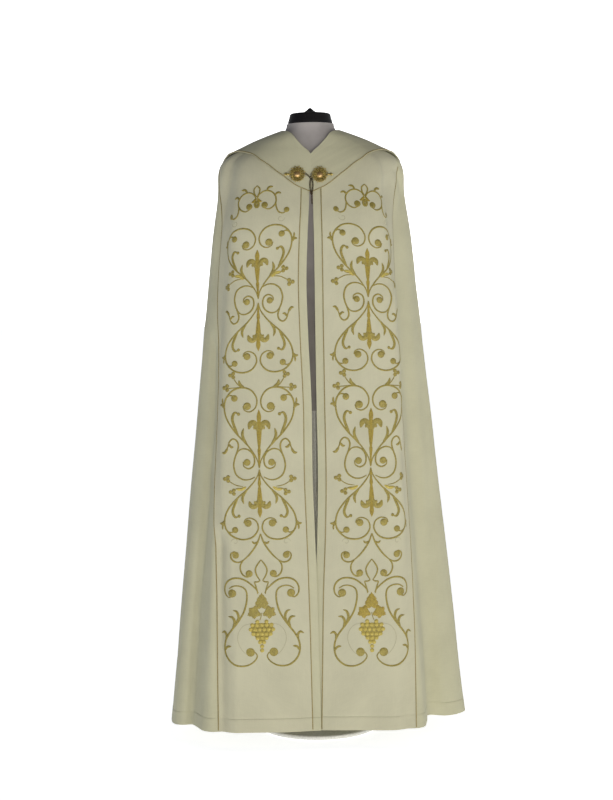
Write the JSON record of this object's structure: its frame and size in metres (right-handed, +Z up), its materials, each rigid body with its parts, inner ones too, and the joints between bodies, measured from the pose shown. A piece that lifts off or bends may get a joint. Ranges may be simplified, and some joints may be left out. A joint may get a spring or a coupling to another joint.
{
  "type": "cope vestment on a dress form",
  "caption": "Full-length liturgical cope in cream cloth with gold-embroidered front bands, collar hood and fastened clasp, hanging on a limbless dress form with a round stand.",
  "frame": {"origin": "middle of the stand base's underside, on the floor", "axes": "+Z up along the pole, -Y out of the cope's open front, +X to the right of someone who looks at the front"},
  "size_m": [0.7404, 0.5018, 1.5576],
  "materials": {
    "cloth": "matt cream wool-blend cloth with a fine plain weave",
    "band_cloth": "cream cloth with gold machine embroidery",
    "gold_thread": "twisted metallic gold cord",
    "gilt_metal": "gilt cast filigree",
    "chain_metal": "darkened bronze chain",
    "jersey": "stretched pale grey jersey over foam",
    "black_lacquer": "black lacquered turned wood",
    "white_lacquer": "white satin lacquer"
  },
  "bodies": {
    "root": {"mantle_left": "cloth", "mantle_right": "cloth", "hood": "cloth", "orphrey_left": "band_cloth", "orphrey_right": "band_cloth", "piping_inner_left": "gold_thread", "piping_inner_right": "gold_thread", "piping_outer_left": "gold_thread", "piping_outer_right": "gold_thread", "hood_piping": "gold_thread", "clasp_rosette_left": "gilt_metal", "clasp_rosette_right": "gilt_metal", "clasp_chain": "chain_metal", "clasp_pendant": "chain_metal", "form_torso": "jersey", "form_cap": "black_lacquer", "form_knob": "black_lacquer", "stand_pole": "white_lacquer", "stand_collar": "white_lacquer", "stand_base": "white_lacquer"}
  },
  "joints": []
}
